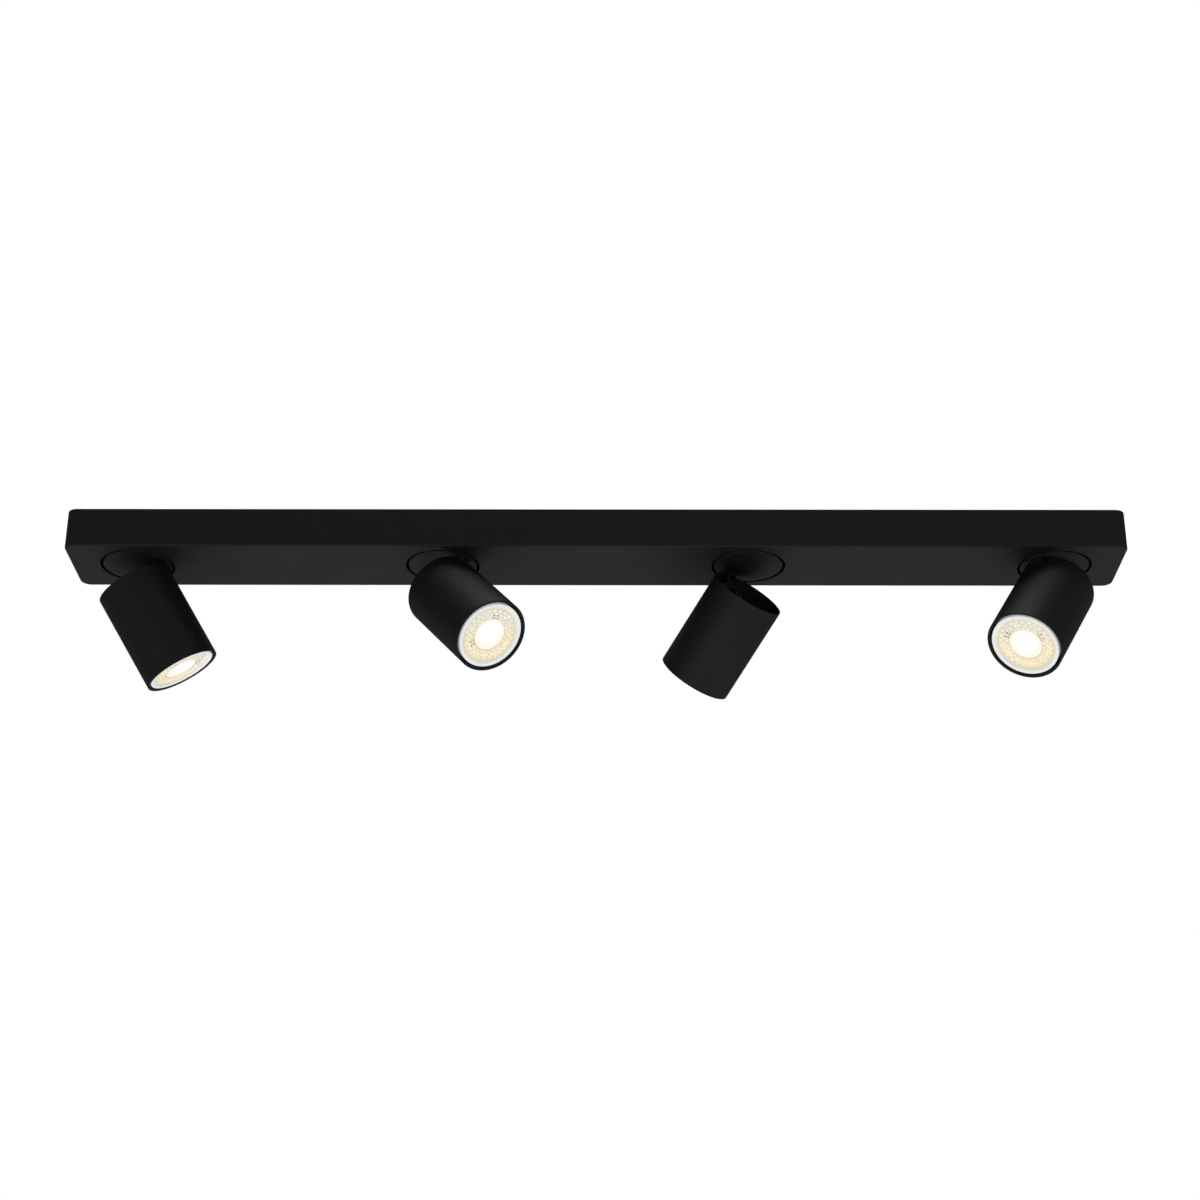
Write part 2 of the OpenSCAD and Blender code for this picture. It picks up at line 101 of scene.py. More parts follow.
def make_light(name, at, size, power, aim=(0, 0, -0.05), colour=(1, 1, 1)):
    """A soft box that the camera doesn't see."""
    data = bpy.data.lights.new(name, "AREA")
    data.shape = "RECTANGLE"
    data.size, data.size_y = size
    data.energy = power
    data.color = colour
    light = bpy.data.objects.new(name, data)
    bpy.context.scene.collection.objects.link(light)
    light.location = at
    light.rotation_mode = "QUATERNION"
    light.rotation_quaternion = (Vector(aim) - Vector(at)).to_track_quat("-Z", "Y")
    light.visible_camera = False


def make_floor():
    """A plain pale floor, a room's height below the ceiling that the bar hangs on."""
    shape = Shape()
    corners = [(sx * FLOOR_HALF, sy * FLOOR_HALF, FLOOR_Z) for sx, sy in ((1, 1), (-1, 1), (-1, -1), (1, -1))]
    shape.bm.faces.new(shape.ring(corners))
    mesh = bpy.data.meshes.new("floor")
    shape.bm.to_mesh(mesh)
    floor = bpy.data.objects.new("floor", mesh)
    bpy.context.scene.collection.objects.link(floor)
    paint = Finish("floor_paint", roughness=0.7)
    grain = paint.noise(6.0, detail=4)
    paint.ramp(grain, "Base Color", ((0.3, (0.78, 0.78, 0.77)), (0.7, (0.83, 0.83, 0.82))))
    mesh.materials.append(paint.material)


# ---------------------------------------------------------------- mesh building

def circle(radius, steps, z=0.0, at=(0.0, 0.0)):
    """Points of a level circle, anticlockwise from above."""
    turns = [TAU * i / steps for i in range(steps)]
    return [Vector((at[0] + radius * math.cos(a), at[1] + radius * math.sin(a), z)) for a in turns]


def round_rect(half_x, half_y, radius, arc_steps, z=0.0, at=(0.0, 0.0)):
    """Points of a level rectangle with round corners, anticlockwise from above."""
    points = []
    for quarter, (sx, sy) in enumerate(((1, 1), (-1, 1), (-1, -1), (1, -1))):
        for step in range(arc_steps + 1):
            a = (quarter + step / arc_steps) * math.pi / 2
            x = at[0] + sx * (half_x - radius) + radius * math.cos(a)
            y = at[1] + sy * (half_y - radius) + radius * math.sin(a)
            points.append(Vector((x, y, z)))
    return points


def soft_profile(corners, closed=False, steps=4):
    """A profile of (radius, height) with round corners. Each corner is (radius, height, rounding)."""
    points = []
    count = len(corners)
    for i, (r, z, size) in enumerate(corners):
        here = Vector((r, z))
        if size == 0 or (not closed and i in (0, count - 1)):
            points.append(here)
            continue
        before = (Vector(corners[i - 1][:2]) - here).normalized()
        after = (Vector(corners[(i + 1) % count][:2]) - here).normalized()
        half = before.angle(after) / 2
        centre = here + (before + after).normalized() * (size / math.sin(half))
        start = here + before * (size / math.tan(half)) - centre
        end = here + after * (size / math.tan(half)) - centre
        turn = math.atan2(start.x * end.y - start.y * end.x, start.dot(end))
        for step in range(steps + 1):
            points.append(centre + Matrix.Rotation(turn * step / steps, 2) @ start)
    return [(p.x, p.y) for p in points]


class Shape:
    """A mesh in the making: rings of points, and the faces that join them."""

    def __init__(self):
        self.bm = bmesh.new()

    def ring(self, points):
        return [self.bm.verts.new(p) for p in points]

    def join(self, a, b):
        """Faces between two rings. A ring of one point is a pole."""
        count = max(len(a), len(b))
        for i in range(count):
            j = (i + 1) % count
            if len(a) == 1:
                corners = (a[0], b[j], b[i])
            elif len(b) == 1:
                corners = (a[i], a[j], b[0])
            else:
                corners = (a[i], a[j], b[j], b[i])
            self.bm.faces.new(corners)

    def loft(self, rings, closed=False):
        for a, b in zip(rings, rings[1:]):
            self.join(a, b)
        if closed:
            self.join(rings[-1], rings[0])
        return rings

    def cap(self, outer, holes=()):
        """A flat face inside a ring, with the holes left open."""
        if not holes:
            self.bm.faces.new(outer)
            return
        loops = [outer, *holes]
        flat = [v for loop in loops for v in loop]
        for corners in tessellate_polygon([[v.co for v in loop] for loop in loops]):
            self.bm.faces.new([flat[k] for k in corners])

    def revolve(self, profile, steps, closed=False, at=(0.0, 0.0)):
        """A turned surface about Z from a profile of (radius, height)."""
        rings = []
        for r, z in profile:
            points = [Vector((at[0], at[1], z))] if r < 1e-7 else circle(r, steps, z, at)
            rings.append(self.ring(points))
        return self.loft(rings, closed)

    def prism(self, outline, vector):
        """A closed solid: the outline moved along a vector."""
        low = self.ring(outline)
        high = self.ring([Vector(p) + Vector(vector) for p in outline])
        self.loft([low, high])
        self.cap(low)
        self.cap(high)
        return self

    def block(self, low, high):
        """A box between two corners, for cutting."""
        (x0, y0, z0), (x1, y1, z1) = low, high
        return self.prism([(x0, y0, z0), (x1, y0, z0), (x1, y1, z0), (x0, y1, z0)], (0, 0, z1 - z0))

    def mark(self, name, values):
        """A number on each point, for the finishes to read."""
        layer = self.bm.verts.layers.float.new(name)
        for vertex, value in zip(self.bm.verts, values):
            vertex[layer] = value
        return self

    def move(self, matrix):
        self.bm.transform(matrix)
        return self

    def add(self, other, matrix=Matrix()):
        """Takes in another shape's mesh, moved by the matrix."""
        mesh = bpy.data.meshes.new("part")
        other.bm.to_mesh(mesh)
        mesh.transform(matrix)
        self.bm.from_mesh(mesh)
        bpy.data.meshes.remove(mesh)
        return self

    def tidy(self):
        bmesh.ops.recalc_face_normals(self.bm, faces=self.bm.faces)
        return self

    def carve(self, *cutters):
        """Cuts the other shapes out of this one."""
        body = self.as_object("carved")
        tools = [cutter.as_object("cutter") for cutter in cutters]
        for tool in tools:
            cut = body.modifiers.new("cut", "BOOLEAN")
            cut.operation = "DIFFERENCE"
            cut.solver = "EXACT"
            cut.object = tool
        graph = bpy.context.evaluated_depsgraph_get()
        result = bpy.data.meshes.new_from_object(body.evaluated_get(graph))
        self.bm.clear()
        self.bm.from_mesh(result)
        bpy.data.meshes.remove(result)
        for obj in (body, *tools):
            mesh = obj.data
            bpy.data.objects.remove(obj)
            bpy.data.meshes.remove(mesh)
        return self

    def as_object(self, name):
        self.tidy()
        mesh = bpy.data.meshes.new(name)
        self.bm.to_mesh(mesh)
        obj = bpy.data.objects.new(name, mesh)
        bpy.context.scene.collection.objects.link(obj)
        return obj

    def soften(self, width, angle=40, steps=2):
        """Rounds every edge that is sharper than the angle."""
        self.tidy()
        sharp = [e for e in self.bm.edges if e.is_manifold and e.calc_face_angle() > math.radians(angle)]
        bmesh.ops.bevel(self.bm, geom=sharp, offset=width, offset_type="OFFSET", segments=steps,
                        profile=0.5, affect="EDGES", clamp_overlap=True)
        return self


def piece(shape, name, body, slot, nodes=(), place=Matrix(), sharp=35):
    """Makes the shape, moved from its local frame, a piece that rides on a body and stands for CAD nodes."""
    obj = shape.move(place).as_object(name)
    mesh = obj.data
    mesh.shade_smooth()
    mesh.set_sharp_from_angle(angle=math.radians(sharp))
    mesh.materials.append(FINISHES[slot])
    weights = obj.modifiers.new("flat faces stay flat", "WEIGHTED_NORMAL")
    weights.keep_sharp = True
    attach(obj, body)
    if nodes:
        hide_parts(*nodes)
    return obj


def dress(node, slot):
    """Gives a CAD node that keeps its shape its finish."""
    mesh = frame["nodes"][node].data
    mesh.materials.clear()
    mesh.materials.append(FINISHES[slot])


# ---------------------------------------------------------------- finishes

class Finish:
    """A material in the making, on one Principled shader."""

    def __init__(self, name, metallic=0.0, roughness=0.5, specular=0.5, ior=1.5):
        self.material = bpy.data.materials.new(name)
        self.material.use_nodes = True
        self.nodes = self.material.node_tree.nodes
        self.links = self.material.node_tree.links
        self.shader = self.nodes["Principled BSDF"]
        self.set("Metallic", metallic)
        self.set("Roughness", roughness)
        self.set("Specular IOR Level", specular)
        self.set("IOR", ior)
        self.place = self.nodes.new("ShaderNodeTexCoord").outputs["Object"]
        self.normal = None

    def set(self, socket, value):
        self.shader.inputs[socket].default_value = value

    def stretched(self, scale):
        """The object's coordinates, stretched along each axis."""
        node = self.nodes.new("ShaderNodeMapping")
        node.inputs["Scale"].default_value = scale
        self.links.new(self.place, node.inputs["Vector"])
        return node.outputs["Vector"]

    def noise(self, scale, detail=3.0, rough=0.55, warp=0.0, place=None):
        node = self.nodes.new("ShaderNodeTexNoise")
        node.inputs["Scale"].default_value = scale
        node.inputs["Detail"].default_value = detail
        node.inputs["Roughness"].default_value = rough
        node.inputs["Distortion"].default_value = warp
        self.links.new(place or self.place, node.inputs["Vector"])
        return node.outputs["Fac"]

    def cells(self, scale, output="Distance", feature="F1", place=None):
        node = self.nodes.new("ShaderNodeTexVoronoi")
        node.feature = feature
        node.inputs["Scale"].default_value = scale
        self.links.new(place or self.place, node.inputs["Vector"])
        return node.outputs[output]

    def bands(self, scale, axis="Z", warp=0.0, kind="BANDS", place=None):
        node = self.nodes.new("ShaderNodeTexWave")
        node.wave_type = kind
        if kind == "BANDS":
            node.bands_direction = axis
        else:
            node.rings_direction = axis
        node.inputs["Scale"].default_value = scale
        node.inputs["Distortion"].default_value = warp
        node.inputs["Detail Scale"].default_value = 2.0
        self.links.new(place or self.place, node.inputs["Vector"])
        return node.outputs["Fac"]

    def attribute(self, name, output="Fac"):
        node = self.nodes.new("ShaderNodeAttribute")
        node.attribute_name = name
        return node.outputs[output]

    def math(self, operation, a, b):
        """Arithmetic on two values, each a socket or a number."""
        node = self.nodes.new("ShaderNodeMath")
        node.operation = operation
        for k, value in enumerate((a, b)):
            if isinstance(value, (int, float)):
                node.inputs[k].default_value = value
            else:
                self.links.new(value, node.inputs[k])
        return node.outputs[0]

    def mapped(self, value, low, high, socket=None, start=0.0, end=1.0):
        """The value's range from start to end, remapped, and fed to a shader socket if one is named."""
        node = self.nodes.new("ShaderNodeMapRange")
        for name, number in zip(("From Min", "From Max", "To Min", "To Max"), (start, end, low, high)):
            node.inputs[name].default_value = number
        self.links.new(value, node.inputs["Value"])
        if socket:
            self.links.new(node.outputs[0], self.shader.inputs[socket])
        return node.outputs[0]

    def ramp(self, value, socket, stops, smooth=False):
        """Colours along the value. Each stop is (position, colour)."""
        node = self.nodes.new("ShaderNodeValToRGB")
        node.color_ramp.interpolation = "EASE" if smooth else "LINEAR"
        elements = node.color_ramp.elements
        while len(elements) < len(stops):
            elements.new(0.5)
        for element, (position, colour) in zip(elements, stops):
            element.position = position
            element.color = (*colour, 1)
        self.links.new(value, node.inputs["Fac"])
        if socket:
            self.links.new(node.outputs["Color"], self.shader.inputs[socket])
        return node.outputs["Color"]

    def blend(self, share, a, b):
        """One colour turning into another as the share goes from 0 to 1."""
        node = self.nodes.new("ShaderNodeMix")
        node.data_type = "RGBA"
        for socket, value in ((node.inputs[0], share), (node.inputs[6], a), (node.inputs[7], b)):
            self.links.new(value, socket)
        return node.outputs[2]

    def bump(self, height, depth, strength=1.0):
        """Relief of that depth in metres, on top of the relief so far."""
        node = self.nodes.new("ShaderNodeBump")
        node.inputs["Distance"].default_value = depth
        node.inputs["Strength"].default_value = strength
        self.links.new(height, node.inputs["Height"])
        if self.normal:
            self.links.new(self.normal, node.inputs["Normal"])
        self.normal = node.outputs["Normal"]
        self.links.new(self.normal, self.shader.inputs["Normal"])


def powder_coat():
    """Matt black powder coat: a fine leathery grain, and soft mottling in the gloss."""
    f = Finish("black_powder_coat", specular=0.32)
    mottle = f.noise(420.0, detail=3, rough=0.6)
    cloud = f.noise(28.0, detail=2)
    f.ramp(mottle, "Base Color", ((0.30, (0.0078, 0.0080, 0.0088)), (0.70, (0.0128, 0.0130, 0.0142))))
    f.mapped(f.math("ADD", f.math("MULTIPLY", mottle, 0.7), f.math("MULTIPLY", cloud, 0.3)),
             0.48, 0.66, "Roughness", 0.3, 0.7)
    f.bump(f.cells(1500.0, feature="SMOOTH_F1"), 0.035 * MM, 0.55)
    f.bump(f.noise(620.0, detail=4, rough=0.62), 0.06 * MM, 0.6)
    return f.material


def black_steel():
    """Thin black coat on steel sheet, with the rolled steel's long faint streaks."""
    f = Finish("black_steel", specular=0.4)
    streaks = f.noise(90.0, detail=4, place=f.stretched((0.08, 1.0, 1.0)))
    f.ramp(streaks, "Base Color", ((0.3, (0.010, 0.010, 0.011)), (0.7, (0.022, 0.022, 0.024))))
    f.mapped(streaks, 0.34, 0.5, "Roughness", 0.3, 0.7)
    f.bump(f.noise(900.0, detail=2), 0.02 * MM, 0.5)
    return f.material


def zinc_steel():
    """Zinc-plated steel sheet: a faint spangle, a little grime, and fine rolling scratches."""
    f = Finish("zinc_plated_steel", metallic=1.0)
    spangle = f.cells(300.0, output="Color")
    grime = f.noise(22.0, detail=5, rough=0.6)
    tone = f.math("ADD", f.math("MULTIPLY", spangle, 0.25), f.math("MULTIPLY", grime, 0.75))
    f.ramp(tone, "Base Color", (
        (0.25, (0.46, 0.47, 0.49)), (0.55, (0.57, 0.58, 0.60)), (0.8, (0.66, 0.67, 0.68))))
    f.mapped(spangle, 0.28, 0.38, "Roughness")
    scratches = f.noise(380.0, detail=2, place=f.stretched((0.03, 1.0, 1.0)))
    f.bump(scratches, 0.02 * MM, 0.35)
    f.bump(spangle, 0.02 * MM, 0.3)
    return f.material


def plated_metal(name, dark, light, low, high):
    """Small plated metal parts: turned marks, uneven gloss and a stained tone."""
    f = Finish(name, metallic=1.0)
    stain = f.noise(180.0, detail=4, rough=0.6)
    f.ramp(stain, "Base Color", ((0.3, dark), (0.7, light)))
    f.mapped(f.noise(700.0, detail=3), low, high, "Roughness", 0.3, 0.7)
    f.bump(f.noise(1500.0, detail=2), 0.01 * MM, 0.5)
    return f.material


def plastic(name, dark, light, roughness, specular=0.5, grain=1100.0, depth=0.02, scatter=0.0):
    """Moulded plastic or rubber: a faint cloud in the colour and a fine spark-eroded grain."""
    f = Finish(name, roughness=roughness, specular=specular)
    f.ramp(f.noise(60.0, detail=4), "Base Color", ((0.3, dark), (0.7, light)))
    f.mapped(f.noise(240.0, detail=3), roughness - 0.06, roughness + 0.08, "Roughness", 0.3, 0.7)
    f.bump(f.noise(grain, detail=3, rough=0.6), depth * MM, 0.5)
    if scatter:
        f.set("Subsurface Weight", scatter)
        f.set("Subsurface Radius", (1.0, 0.8, 0.6))
        f.set("Subsurface Scale", 1.5 * MM)
    return f.material


def ceramic():
    """Glazed steatite: warm white with tiny specks."""
    f = Finish("white_ceramic", roughness=0.28)
    specks = f.cells(900.0)
    cloud = f.noise(110.0, detail=4)
    f.ramp(f.math("MULTIPLY", f.math("ADD", specks, 0.35), cloud), "Base Color",
           ((0.05, (0.46, 0.43, 0.37)), (0.16, (0.74, 0.72, 0.66)), (0.6, (0.82, 0.80, 0.75))))
    f.mapped(cloud, 0.22, 0.42, "Roughness", 0.3, 0.7)
    f.bump(f.noise(500.0, detail=3), 0.03 * MM, 0.5)
    return f.material


def braided_sleeve():
    """Black glass-fibre sleeve: a diagonal weave that runs round the wires."""
    f = Finish("wire_sleeve", roughness=0.6, specular=0.35)
    weave = f.math("MULTIPLY", f.bands(520.0, "DIAGONAL"), f.bands(430.0, "Z", warp=1.2))
    f.ramp(weave, "Base Color", ((0.0, (0.006, 0.006, 0.006)), (1.0, (0.032, 0.032, 0.034))))
    f.mapped(weave, 0.7, 0.45, "Roughness")
    f.bump(weave, 0.25 * MM, 0.6)
    return f.material


def lamp_shell():
    """White lamp plastic, with a glow painted into its front that stands in for the lamp's light getting into
    it and keeps the ring bright white.
    """
    f = Finish("lamp_white_plastic", roughness=0.32)
    f.ramp(f.noise(70.0, detail=3), "Base Color", ((0.3, (0.76, 0.77, 0.76)), (0.7, (0.82, 0.83, 0.82))))
    f.mapped(f.noise(260.0, detail=3), 0.26, 0.40, "Roughness", 0.3, 0.7)
    # painted glow: emission on the shell's front, where the front mark is high
    f.ramp(f.attribute("front"), "Emission Color", ((0.0, (0, 0, 0)), (1.0, (0.62, 0.64, 0.63))))
    f.set("Emission Strength", 0.74)
    f.bump(f.noise(900.0, detail=2), 0.01 * MM, 0.4)
    return f.material


def lit_lens():
    """Clear moulded lens over a lit chip: a white core, cream bead rings and tan lenslets, with a painted
    sheen that turns the tan towards silver on one side.
    """
    f = Finish("lamp_lens", roughness=0.12, ior=1.49)
    f.set("Coat Weight", 0.6)
    f.set("Coat Roughness", 0.04)
    radial, sheen_side = f.attribute("radial"), f.attribute("sheen_side")
    gold = f.ramp(radial, None, (
        (0.00, (1.0, 0.98, 0.94)), (0.22, (1.0, 0.97, 0.90)), (0.40, (0.98, 0.95, 0.85)),
        (0.530, (0.94, 0.88, 0.74)), (0.550, (0.58, 0.48, 0.30)), (0.575, (0.72, 0.62, 0.42)),
        (0.80, (0.82, 0.71, 0.46)), (0.92, (0.62, 0.53, 0.34)), (0.96, (0.56, 0.49, 0.35)),
        (1.00, (0.60, 0.57, 0.48))))
    # The silver tones are a painted sheen, blended in on one side of the lens.
    silver = f.ramp(radial, None, (
        (0.00, (1.0, 0.98, 0.94)), (0.22, (1.0, 0.97, 0.90)), (0.40, (0.98, 0.95, 0.87)),
        (0.530, (0.94, 0.90, 0.79)), (0.550, (0.64, 0.57, 0.42)), (0.575, (0.62, 0.58, 0.49)),
        (0.80, (0.62, 0.58, 0.49)), (0.92, (0.58, 0.54, 0.44)), (0.96, (0.56, 0.51, 0.40)),
        (1.00, (0.62, 0.60, 0.54))))
    light = f.blend(f.mapped(sheen_side, 0.0, 1.0, None, 0.36, 0.72), gold, silver)
    mix = f.nodes.new("ShaderNodeVectorMath")
    mix.operation = "SCALE"
    f.links.new(light, mix.inputs[0])
    f.links.new(f.attribute("facet"), mix.inputs["Scale"])
    white = f.ramp(f.attribute("core"), None,
                   ((0.06, (1.2, 1.18, 1.12)), (0.42, (0.0, 0.0, 0.0))), smooth=True)
    glow = f.nodes.new("ShaderNodeVectorMath")
    glow.operation = "ADD"
    f.links.new(mix.outputs[0], glow.inputs[0])
    f.links.new(white, glow.inputs[1])
    f.links.new(glow.outputs[0], f.shader.inputs["Emission Color"])
    f.set("Emission Strength", 1.0)
    f.ramp(radial, "Base Color", ((0.0, (0.5, 0.48, 0.42)), (1.0, (0.42, 0.39, 0.32))))
    return f.material


# ---------------------------------------------------------------- the heads, as the joints place them

JOINTS = {joint["name"]: joint for joint in frame["joints"]}


def local_box(node, place):
    """Lowest and highest corner of a CAD node in a local frame."""
    inverse = place.inverted()
    points = [inverse @ v.co for v in frame["nodes"][node].data.vertices]
    low = Vector(min(p[k] for p in points) for k in range(3))
    high = Vector(max(p[k] for p in points) for k in range(3))
    return low, high


class Head:
    """One spot head: its number, and the frames of its disc, tilt axis and tube.

    The disc's frame has the disc's face at z = 0 and the tab towards +X. The tube's frame
    has its axis as Z, the tilt axis at z = 0 on the +X side, and the tube's mouth at -Z."""

    def __init__(self, number):
        swivel, tilt = JOINTS[f"swivel_{number}"], JOINTS[f"tilt_{number}"]
        azimuth = math.atan2(tilt["axis"][0], -tilt["axis"][1])
        self.tilt = math.radians(-tilt["range_deg"][0])
        turn = Matrix.Rotation(azimuth, 4, "Z")
        self.number = number
        self.disc = Matrix.Translation(swivel["pos_m"]) @ turn
        self.pivot = Matrix.Translation(tilt["pos_m"]) @ turn @ Matrix.Rotation(-self.tilt, 4, "Y")
        low, high = local_box(f"lamp_body_{number}", self.pivot)
        self.tube = self.pivot @ Matrix.Translation(((low.x + high.x) / 2, 0, 0))
        self.swivel_body = f"swivel_{number}"
        self.head_body = f"head_{number}"


HEADS = [Head(n) for n in (1, 2, 3, 4)]
FIRST = HEADS[0]
AXIS_IN_DISC = FIRST.disc.inverted() @ Vector(JOINTS["tilt_1"]["pos_m"])
TUBE_BOX = local_box("spot_tube_1", FIRST.tube)
LAMP_BOX = local_box("lamp_body_1", FIRST.tube)
LENS_BOX = local_box("lamp_lens_1", FIRST.tube)
HOLDER_BOX = local_box("lampholder_1", FIRST.tube)
DISC_BOX = local_box("swivel_disc_1", FIRST.disc)
BAR_LOW, BAR_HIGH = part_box("housing")

TUBE_R = TUBE_BOX[1].y - 0.1 * MM
RIM_Z, MOUTH_Z = TUBE_BOX[1].z - 0.05 * MM, TUBE_BOX[0].z + 0.05 * MM
LAMP_R, LAMP_FRONT = LAMP_BOX[1].y, LAMP_BOX[0].z
LAMP_TOP = HOLDER_BOX[0].z - 0.2 * MM
LENS_R = LENS_BOX[1].y - 0.35 * MM
LENS_FRONT, LENS_BACK = LENS_BOX[0].z + 1.0 * MM, LENS_BOX[1].z
DISC_R, DISC_TOP = DISC_BOX[1].y, DISC_BOX[1].z

# ---------------------------------------------------------------- the bar

BAR_CORNER = 8 * MM
BAR_BEND = 1.6 * MM
SHEET = 1.2 * MM
HOLE_R = 28 * MM
EDGE = 0.3 * MM
END_SCREW_Z = -12 * MM
SCREW_HEAD_R = 3.75 * MM
SCREW_HEAD_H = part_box("housing_screws")[1].x - BAR_HIGH.x


def make_bar_shell():
    """The folded tray: long walls, round corners, bent lower edges and four round holes."""
    half_x, half_y = BAR_HIGH.x, BAR_HIGH.y
    top, face = BAR_HIGH.z, BAR_LOW.z
    floor = face + SHEET
    section = soft_profile([
        (BAR_BEND, face, 0), (0, face, BAR_BEND - 0.01 * MM), (0, top, EDGE), (SHEET, top, EDGE),
        (SHEET, floor, BAR_BEND - SHEET - 0.01 * MM), (BAR_BEND, floor, 0)], steps=8)
    shape = Shape()
    rings = [shape.ring(round_rect(half_x - inset, half_y - inset, BAR_CORNER - inset, 16, z))
             for inset, z in section]
    shape.loft(rings)
    outer_holes, inner_holes = [], []
    for head in HEADS:
        at = head.disc.translation
        wall = soft_profile([(HOLE_R + 2 * EDGE, face, 0), (HOLE_R, face, EDGE), (HOLE_R, floor, 0)])
        hole = shape.revolve(wall[1:], 128, at=(at.x, at.y))
        outer_holes.append(hole[0])
        inner_holes.append(hole[-1])
    shape.cap(rings[0], outer_holes)
    shape.cap(rings[-1], inner_holes)
    drill = Shape()
    drill.revolve([(0, -half_x - 5 * MM), (2.2 * MM, -half_x - 5 * MM), (2.2 * MM, half_x + 5 * MM),
                   (0, half_x + 5 * MM)], 32)
    drill.move(Matrix.Translation((0, 0, END_SCREW_Z)) @ Matrix.Rotation(math.pi / 2, 4, "Y"))
    shape.carve(drill)
    piece(shape, "bar_shell", "base", "black_powder_coat", ["housing"])


def pan_head(radius, height):
    """A screw's pan head on z = 0, with a cross recess and a short shank below."""
    shape = Shape()
    shape.revolve([(0, -2 * MM), (0.5 * radius, -2 * MM), (0.5 * radius, 0)] + soft_profile([
        (0.5 * radius, 0, 0), (radius, 0, 0.1 * MM), (radius, height, 0.75 * height),
        (0, height, 0)])[1:], 64)
    slots = []
    for half_x, half_y in ((0.55 * radius, 0.13 * radius), (0.13 * radius, 0.55 * radius)):
        slots.append(Shape().block((-half_x, -half_y, 0.35 * height), (half_x, half_y, 2 * height)))
    return shape.carve(*slots)


def make_end_screws():
    """The two pan-head screws that hold the bar to the ceiling bracket."""
    pair = Shape()
    for side in (-1, 1):
        place = Matrix.Translation((side * BAR_HIGH.x, 0, END_SCREW_Z))
        outwards = Matrix.Rotation(side * math.pi / 2, 4, "Y") @ Matrix.Rotation(0.5 * side, 4, "Z")
        pair.add(pan_head(SCREW_HEAD_R, SCREW_HEAD_H), place @ outwards)
    piece(pair, "end_screws", "base", "black_screw", ["housing_screws"])


# ---------------------------------------------------------------- swivel discs

PORT_HALF, PORT_LOW, PORT_HIGH = 3.2 * MM, -5.6 * MM, -2.2 * MM
CHANNEL_HALF, CHANNEL_LOW, CHANNEL_HIGH = 3.0 * MM, -5.4 * MM, 9 * MM


def make_disc(head):
    """A cast disc with a soft edge, and the tab that grows from it in a small fillet."""
    shape = Shape()
    soft = 0.6 * MM
    ledge_z = DISC_TOP - 1.4 * MM
    back = 1.5 * MM
    rim = soft_profile([
        (DISC_R - 3 * MM, 0, 0), (DISC_R, 0, soft), (DISC_R, DISC_TOP, 0.3 * MM),
        (DISC_R - 2 * MM, DISC_TOP, 0.3 * MM), (DISC_R - 2 * MM, ledge_z, 0),
        (DISC_R - 3.5 * MM, ledge_z, 0.2 * MM), (DISC_R - 3.5 * MM, back, 0.4 * MM), (0, back, 0)])
    edge = shape.revolve(rim[1:], 128)[0]

    half_x, half_y, corner = 4 * MM, 5.5 * MM, 3.8 * MM
    fillet = 0.45 * MM
    axis_z = AXIS_IN_DISC.z
    at = (AXIS_IN_DISC.x, 0.0)
    outlines = []
    for step in range(7):
        a = step / 6 * math.pi / 2
        grow = fillet * (1 - math.sin(a))
        outlines.append((half_x + grow, half_y + grow, corner + grow, -fillet * (1 - math.cos(a))))
    for step in range(1, 9):
        drop = half_x * (1 - step / 8)
        boss = half_x - math.sqrt(max(half_x ** 2 - drop ** 2, 0))
        outlines.append((half_x, half_y, max(min(corner, boss), 0.5 * MM), axis_z + drop))
    for step in range(1, 11):
        a = step / 10 * math.radians(84)
        x = half_x * math.cos(a)
        outlines.append((x, half_y - 0.3 * MM * (1 - math.cos(a)), min(0.5 * MM, 0.9 * x),
                         axis_z - half_x * math.sin(a)))
    rings = [shape.ring(round_rect(x, y, r, 6, z, at)) for x, y, r, z in outlines]
    shape.loft(rings)
    shape.cap(rings[-1])
    shape.cap(edge, [rings[0]])

    port = Shape().block((at[0] - 9 * MM, -PORT_HALF, PORT_LOW), (at[0] + 0.6 * MM, PORT_HALF, PORT_HIGH))
    channel = Shape().block((at[0] - 2.8 * MM, -CHANNEL_HALF, CHANNEL_LOW),
                            (at[0] + 0.4 * MM, CHANNEL_HALF, CHANNEL_HIGH))
    shape.carve(port, channel)
    shape.soften(0.25 * MM, angle=50)
    n = head.number
    piece(shape, f"disc_with_tab_{n}", head.swivel_body, "black_powder_coat", [f"swivel_disc_{n}"], head.disc)


# ---------------------------------------------------------------- tubes

TUBE_WALL = 1.5 * MM
SLOT_HALF, SLOT_CORNER, SLOT_BOTTOM = 6.5 * MM, 4.5 * MM, -4.7 * MM


def make_tube(head):
    """The shade: a tube with rolled rims, and the slot that lets the tab lie in its wall."""
    inner = TUBE_R - TUBE_WALL
    lip = 0.5 * MM
    shape = Shape()
    wall = soft_profile([
        (inner, MOUTH_Z, lip), (TUBE_R, MOUTH_Z, lip), (TUBE_R, RIM_Z, lip), (inner, RIM_Z, lip)],
        closed=True)
    shape.revolve(wall, 160, closed=True)
    outline = [(0.4 * TUBE_R, p.x, p.y) for p in round_rect(SLOT_HALF, 10 * MM, SLOT_CORNER, 8, 0)]
    cutter = Shape().prism(outline, (TUBE_R, 0, 0))
    cutter.move(Matrix.Translation((0, 0, SLOT_BOTTOM + 10 * MM)))
    shape.carve(cutter)
    shape.soften(0.3 * MM, angle=50)
    n = head.number
    piece(shape, f"shade_{n}", head.head_body, "black_powder_coat", [f"spot_tube_{n}"], head.tube)


# ---------------------------------------------------------------- lamps

LENS_TURN = {1: -120, 2: -137, 3: 20, 4: -37}
